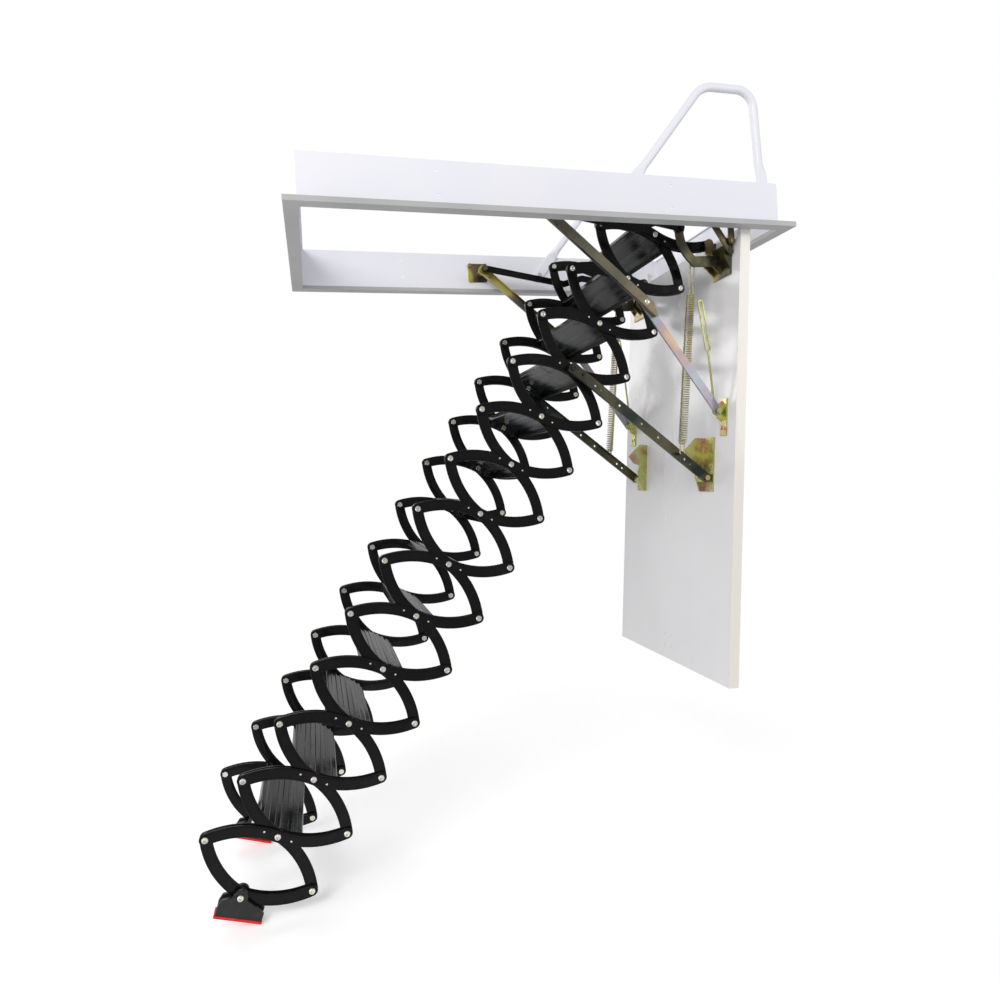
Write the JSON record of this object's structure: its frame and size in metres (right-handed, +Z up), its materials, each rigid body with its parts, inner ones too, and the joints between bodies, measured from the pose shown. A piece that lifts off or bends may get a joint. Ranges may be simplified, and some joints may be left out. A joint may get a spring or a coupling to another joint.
{
  "type": "attic ladder",
  "caption": "Scissor attic ladder with black curved arms and treads, hung from a tilting hatch door in a white casing with handrails.",
  "frame": {"origin": "centre of the ceiling hatch on the ceiling plane, which the trim's top face meets", "axes": "+X along the hatch towards the hinge end, +Y across it, +Z up into the loft"},
  "size_m": [1.5589, 0.706, 1.9988],
  "materials": {
    "white_paint": "satin white powder coat",
    "grey_trim": "silver-grey satin",
    "door_paint": "glossy off-white board",
    "black_arm": "gloss black",
    "black_tread": "gloss black, ribbed",
    "zinc": "yellow zinc plate",
    "spring_steel": "yellow zinc spring steel",
    "black_plastic": "black moulded plastic",
    "red_rubber": "red rubber"
  },
  "bodies": {
    "hatch": {"casing_walls": "white_paint", "trim_frame": "grey_trim", "handrails": "white_paint", "casing_brackets": "zinc"},
    "door": {"door_panel": "door_paint", "hinge_brackets": "zinc", "door_brackets": "zinc"},
    "stay_channels": {"stay_channels": "zinc"},
    "stay_straps": {"stay_straps": "zinc"},
    "hinge_straps_long": {"hinge_straps_long": "zinc"},
    "hinge_straps_short": {"hinge_straps_short": "zinc"},
    "top_bars": {"top_bars": "black_arm"},
    "levers": {"levers": "zinc"},
    "guide_arms": {"guide_arms": "zinc"},
    "springs": {"springs": "spring_steel"},
    "carrying_01": {"carrying_arm_01": "black_arm", "tread_01": "black_tread"},
    "crossing_01": {"crossing_arm_01": "black_arm"},
    "carrying_02": {"carrying_arm_02": "black_arm", "tread_02": "black_tread"},
    "crossing_02": {"crossing_arm_02": "black_arm"},
    "carrying_03": {"carrying_arm_03": "black_arm", "tread_03": "black_tread"},
    "crossing_03": {"crossing_arm_03": "black_arm"},
    "carrying_04": {"carrying_arm_04": "black_arm", "tread_04": "black_tread"},
    "crossing_04": {"crossing_arm_04": "black_arm"},
    "carrying_05": {"carrying_arm_05": "black_arm", "tread_05": "black_tread"},
    "crossing_05": {"crossing_arm_05": "black_arm"},
    "carrying_06": {"carrying_arm_06": "black_arm", "tread_06": "black_tread"},
    "crossing_06": {"crossing_arm_06": "black_arm"},
    "carrying_07": {"carrying_arm_07": "black_arm", "tread_07": "black_tread"},
    "crossing_07": {"crossing_arm_07": "black_arm"},
    "carrying_08": {"carrying_arm_08": "black_arm", "tread_08": "black_tread"},
    "crossing_08": {"crossing_arm_08": "black_arm"},
    "carrying_09": {"carrying_arm_09": "black_arm", "tread_09": "black_tread"},
    "crossing_09": {"crossing_arm_09": "black_arm"},
    "carrying_10": {"carrying_arm_10": "black_arm", "tread_10": "black_tread"},
    "crossing_10": {"crossing_arm_10": "black_arm"},
    "carrying_11": {"carrying_arm_11": "black_arm", "tread_11": "black_tread"},
    "crossing_11": {"crossing_arm_11": "black_arm"},
    "carrying_12": {"carrying_arm_12": "black_arm", "tread_12": "black_tread"},
    "crossing_12": {"crossing_arm_12": "black_arm"},
    "carrying_13": {"carrying_arm_13": "black_arm", "tread_13": "black_tread"},
    "crossing_13": {"crossing_arm_13": "black_arm"},
    "crossing_foot": {"crossing_arm_foot": "black_arm"},
    "carrying_foot": {"carrying_arm_foot": "black_arm"},
    "foot_front": {"foot_front": "black_plastic", "sole_front": "red_rubber"},
    "foot_back": {"foot_back": "black_plastic", "sole_back": "red_rubber"}
  },
  "joints": [
    {"name": "door_swing", "type": "hinge", "parent": "hatch", "child": "door", "pos_m": [0.56578, 0, -0.05116], "axis": [0, 1, 0], "range_deg": [0, 85.15]},
    {"name": "stay_channel_swing", "type": "hinge", "parent": "hatch", "child": "stay_channels", "pos_m": [-0.045, 0, 0.045], "axis": [0, 1, 0], "range_deg": [-105.55, 0]},
    {"name": "stay_strap_swing", "type": "hinge", "parent": "door", "child": "stay_straps", "pos_m": [0.441, 0, -0.481], "axis": [0, 1, 0], "range_deg": [-52.36, 0]},
    {"name": "hinge_strap_long_swing", "type": "hinge", "parent": "hatch", "child": "hinge_straps_long", "pos_m": [0.398, 0, 0.071], "axis": [0, 1, 0], "range_deg": [-38.92, 0]},
    {"name": "hinge_strap_short_swing", "type": "hinge", "parent": "hatch", "child": "hinge_straps_short", "pos_m": [0.487, 0, 0.056], "axis": [0, 1, 0], "range_deg": [-71.38, 0]},
    {"name": "top_bar_swing", "type": "hinge", "parent": "hatch", "child": "top_bars", "pos_m": [-0.045, 0, 0.045], "axis": [0, 1, 0], "range_deg": [-16.84, 0]},
    {"name": "lever_swing", "type": "hinge", "parent": "door", "child": "levers", "pos_m": [0.472, 0, -0.074], "axis": [0, 1, 0], "range_deg": [-70, 0]},
    {"name": "guide_arm_swing", "type": "hinge", "parent": "door", "child": "guide_arms", "pos_m": [0.43, 0, -0.66], "axis": [0, 1, 0], "range_deg": [0, 36.91]},
    {"name": "spring_swing", "type": "hinge", "parent": "levers", "child": "springs", "pos_m": [0.406, 0, -0.078], "axis": [0, 1, 0], "range_deg": [0, 69.94], "deforming": ["springs"]},
    {"name": "carrying_swing_01", "type": "hinge", "parent": "door", "child": "carrying_01", "pos_m": [0.47985, 0, -0.01336], "axis": [0, 1, 0], "range_deg": [-11.88, 0]},
    {"name": "crossing_swing_01", "type": "hinge", "parent": "carrying_01", "child": "crossing_01", "pos_m": [0.3218, 0, 0.0095], "axis": [0, 1, 0], "range_deg": [-39.04, 0]},
    {"name": "crossing_swing_02", "type": "hinge", "parent": "carrying_01", "child": "crossing_02", "pos_m": [0.16375, 0, 0.03236], "axis": [0, 1, 0], "range_deg": [-39.04, 0]},
    {"name": "carrying_swing_02", "type": "hinge", "parent": "crossing_02", "child": "carrying_02", "pos_m": [0.23308, 0, -0.11151], "axis": [0, 1, 0], "range_deg": [0, 39.04]},
    {"name": "crossing_swing_03", "type": "hinge", "parent": "carrying_02", "child": "crossing_03", "pos_m": [0.07502, 0, -0.08865], "axis": [0, 1, 0], "range_deg": [-39.04, 0]},
    {"name": "carrying_swing_03", "type": "hinge", "parent": "crossing_03", "child": "carrying_03", "pos_m": [0.14435, 0, -0.23251], "axis": [0, 1, 0], "range_deg": [0, 39.04]},
    {"name": "crossing_swing_04", "type": "hinge", "parent": "carrying_03", "child": "crossing_04", "pos_m": [-0.01371, 0, -0.20965], "axis": [0, 1, 0], "range_deg": [-39.04, 0]},
    {"name": "carrying_swing_04", "type": "hinge", "parent": "crossing_04", "child": "carrying_04", "pos_m": [0.05563, 0, -0.35352], "axis": [0, 1, 0], "range_deg": [0, 39.04]},
    {"name": "crossing_swing_05", "type": "hinge", "parent": "carrying_04", "child": "crossing_05", "pos_m": [-0.10243, 0, -0.33065], "axis": [0, 1, 0], "range_deg": [-39.04, 0]},
    {"name": "carrying_swing_05", "type": "hinge", "parent": "crossing_05", "child": "carrying_05", "pos_m": [-0.0331, 0, -0.47452], "axis": [0, 1, 0], "range_deg": [0, 39.04]},
    {"name": "crossing_swing_06", "type": "hinge", "parent": "carrying_05", "child": "crossing_06", "pos_m": [-0.19115, 0, -0.45166], "axis": [0, 1, 0], "range_deg": [-39.04, 0]},
    {"name": "carrying_swing_06", "type": "hinge", "parent": "crossing_06", "child": "carrying_06", "pos_m": [-0.12182, 0, -0.59553], "axis": [0, 1, 0], "range_deg": [0, 39.04]},
    {"name": "crossing_swing_07", "type": "hinge", "parent": "carrying_06", "child": "crossing_07", "pos_m": [-0.27988, 0, -0.57266], "axis": [0, 1, 0], "range_deg": [-39.04, 0]},
    {"name": "carrying_swing_07", "type": "hinge", "parent": "crossing_07", "child": "carrying_07", "pos_m": [-0.21055, 0, -0.71653], "axis": [0, 1, 0], "range_deg": [0, 39.04]},
    {"name": "crossing_swing_08", "type": "hinge", "parent": "carrying_07", "child": "crossing_08", "pos_m": [-0.3686, 0, -0.69367], "axis": [0, 1, 0], "range_deg": [-39.04, 0]},
    {"name": "carrying_swing_08", "type": "hinge", "parent": "crossing_08", "child": "carrying_08", "pos_m": [-0.29927, 0, -0.83754], "axis": [0, 1, 0], "range_deg": [0, 39.04]},
    {"name": "crossing_swing_09", "type": "hinge", "parent": "carrying_08", "child": "crossing_09", "pos_m": [-0.45733, 0, -0.81468], "axis": [0, 1, 0], "range_deg": [-39.04, 0]},
    {"name": "carrying_swing_09", "type": "hinge", "parent": "crossing_09", "child": "carrying_09", "pos_m": [-0.388, 0, -0.95854], "axis": [0, 1, 0], "range_deg": [0, 39.04]},
    {"name": "crossing_swing_10", "type": "hinge", "parent": "carrying_09", "child": "crossing_10", "pos_m": [-0.54605, 0, -0.93568], "axis": [0, 1, 0], "range_deg": [-39.04, 0]},
    {"name": "carrying_swing_10", "type": "hinge", "parent": "crossing_10", "child": "carrying_10", "pos_m": [-0.47672, 0, -1.07955], "axis": [0, 1, 0], "range_deg": [0, 39.04]},
    {"name": "crossing_swing_11", "type": "hinge", "parent": "carrying_10", "child": "crossing_11", "pos_m": [-0.63478, 0, -1.05669], "axis": [0, 1, 0], "range_deg": [-39.04, 0]},
    {"name": "carrying_swing_11", "type": "hinge", "parent": "crossing_11", "child": "carrying_11", "pos_m": [-0.56545, 0, -1.20055], "axis": [0, 1, 0], "range_deg": [0, 39.04]},
    {"name": "crossing_swing_12", "type": "hinge", "parent": "carrying_11", "child": "crossing_12", "pos_m": [-0.7235, 0, -1.17769], "axis": [0, 1, 0], "range_deg": [-39.04, 0]},
    {"name": "carrying_swing_12", "type": "hinge", "parent": "crossing_12", "child": "carrying_12", "pos_m": [-0.65417, 0, -1.32156], "axis": [0, 1, 0], "range_deg": [0, 39.04]},
    {"name": "crossing_swing_13", "type": "hinge", "parent": "carrying_12", "child": "crossing_13", "pos_m": [-0.81223, 0, -1.2987], "axis": [0, 1, 0], "range_deg": [-39.04, 0]},
    {"name": "carrying_swing_13", "type": "hinge", "parent": "crossing_13", "child": "carrying_13", "pos_m": [-0.74289, 0, -1.44256], "axis": [0, 1, 0], "range_deg": [0, 39.04]},
    {"name": "crossing_swing_foot", "type": "hinge", "parent": "carrying_13", "child": "crossing_foot", "pos_m": [-0.90095, 0, -1.4197], "axis": [0, 1, 0], "range_deg": [-39.04, 0]},
    {"name": "carrying_swing_foot", "type": "hinge", "parent": "crossing_foot", "child": "carrying_foot", "pos_m": [-0.83162, 0, -1.56357], "axis": [0, 1, 0], "range_deg": [0, 39.04]},
    {"name": "foot_front_swivel", "type": "hinge", "parent": "carrying_foot", "child": "foot_front", "pos_m": [-0.83162, 0, -1.56357], "axis": [0, 1, 0], "range_deg": [-21, 8]},
    {"name": "foot_back_swivel", "type": "hinge", "parent": "carrying_foot", "child": "foot_back", "pos_m": [-0.83162, 0, -1.56357], "axis": [0, 1, 0], "range_deg": [-21, 8]}
  ],
  "couplings": [
    {"joint": "stay_channel_swing", "follows": "door_swing", "ratio": -1.2396},
    {"joint": "stay_strap_swing", "follows": "door_swing", "ratio": -0.61494},
    {"joint": "hinge_strap_long_swing", "follows": "door_swing", "ratio": -0.4571},
    {"joint": "hinge_strap_short_swing", "follows": "door_swing", "ratio": -0.83826},
    {"joint": "top_bar_swing", "follows": "door_swing", "ratio": -0.19779},
    {"joint": "lever_swing", "follows": "door_swing", "ratio": -0.82208},
    {"joint": "guide_arm_swing", "follows": "door_swing", "ratio": 0.43351},
    {"joint": "spring_swing", "follows": "door_swing", "ratio": 0.82133},
    {"joint": "carrying_swing_01", "follows": "door_swing", "ratio": -0.13952},
    {"joint": "crossing_swing_01", "follows": "door_swing", "ratio": -0.45849},
    {"joint": "crossing_swing_02", "follows": "door_swing", "ratio": -0.45849},
    {"joint": "carrying_swing_02", "follows": "door_swing", "ratio": 0.45849},
    {"joint": "crossing_swing_03", "follows": "door_swing", "ratio": -0.45849},
    {"joint": "carrying_swing_03", "follows": "door_swing", "ratio": 0.45849},
    {"joint": "crossing_swing_04", "follows": "door_swing", "ratio": -0.45849},
    {"joint": "carrying_swing_04", "follows": "door_swing", "ratio": 0.45849},
    {"joint": "crossing_swing_05", "follows": "door_swing", "ratio": -0.45849},
    {"joint": "carrying_swing_05", "follows": "door_swing", "ratio": 0.45849},
    {"joint": "crossing_swing_06", "follows": "door_swing", "ratio": -0.45849},
    {"joint": "carrying_swing_06", "follows": "door_swing", "ratio": 0.45849},
    {"joint": "crossing_swing_07", "follows": "door_swing", "ratio": -0.45849},
    {"joint": "carrying_swing_07", "follows": "door_swing", "ratio": 0.45849},
    {"joint": "crossing_swing_08", "follows": "door_swing", "ratio": -0.45849},
    {"joint": "carrying_swing_08", "follows": "door_swing", "ratio": 0.45849},
    {"joint": "crossing_swing_09", "follows": "door_swing", "ratio": -0.45849},
    {"joint": "carrying_swing_09", "follows": "door_swing", "ratio": 0.45849},
    {"joint": "crossing_swing_10", "follows": "door_swing", "ratio": -0.45849},
    {"joint": "carrying_swing_10", "follows": "door_swing", "ratio": 0.45849},
    {"joint": "crossing_swing_11", "follows": "door_swing", "ratio": -0.45849},
    {"joint": "carrying_swing_11", "follows": "door_swing", "ratio": 0.45849},
    {"joint": "crossing_swing_12", "follows": "door_swing", "ratio": -0.45849},
    {"joint": "carrying_swing_12", "follows": "door_swing", "ratio": 0.45849},
    {"joint": "crossing_swing_13", "follows": "door_swing", "ratio": -0.45849},
    {"joint": "carrying_swing_13", "follows": "door_swing", "ratio": 0.45849},
    {"joint": "crossing_swing_foot", "follows": "door_swing", "ratio": -0.45849},
    {"joint": "carrying_swing_foot", "follows": "door_swing", "ratio": 0.45849}
  ]
}
